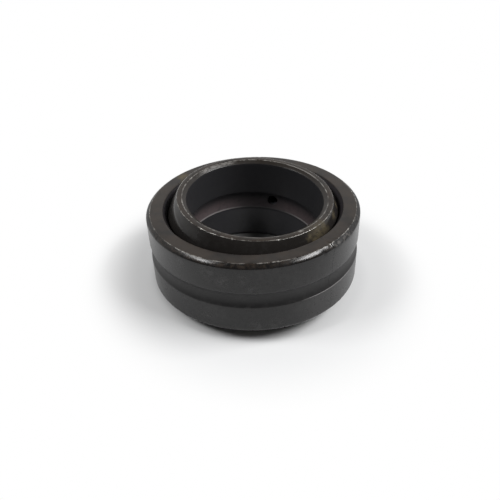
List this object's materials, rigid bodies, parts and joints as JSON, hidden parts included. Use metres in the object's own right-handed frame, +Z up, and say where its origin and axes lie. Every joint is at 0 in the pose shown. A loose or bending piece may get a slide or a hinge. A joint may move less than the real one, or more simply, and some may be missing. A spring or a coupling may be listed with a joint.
{
  "type": "radial spherical plain bearing",
  "caption": "Radial spherical plain bearing, steel on steel: a ball-shaped inner ring with a plain bore tilts in a one-piece outer ring, greased through grooves and holes in both rings.",
  "frame": {"origin": "centre of the ball, on the bore's axis, halfway between the inner ring's end faces", "axes": "+Z up along the bore's axis, out of the end that faces up as the bearing lies. X and Y lie in the middle plane, and the outer ring's top leans towards -X and +Y."},
  "size_m": [0.056, 0.0556, 0.025],
  "materials": {
    "outer_ring_steel": "hardened bearing steel, manganese phosphated, dark and worn bright on its edges",
    "inner_ring_steel": "hardened bearing steel, manganese phosphated, dark, worn on its edges and rust-tinted on the ball"
  },
  "bodies": {
    "inner_ring": {"inner_ring": "inner_ring_steel"},
    "outer_ring": {"outer_ring": "outer_ring_steel"}
  },
  "joints": [
    {"name": "tilt", "type": "hinge", "parent": "inner_ring", "child": "outer_ring", "pos_m": [0, 0, 0], "axis": [-0.5446, -0.8387, 0], "range_deg": [-9.8, 2.2]}
  ]
}
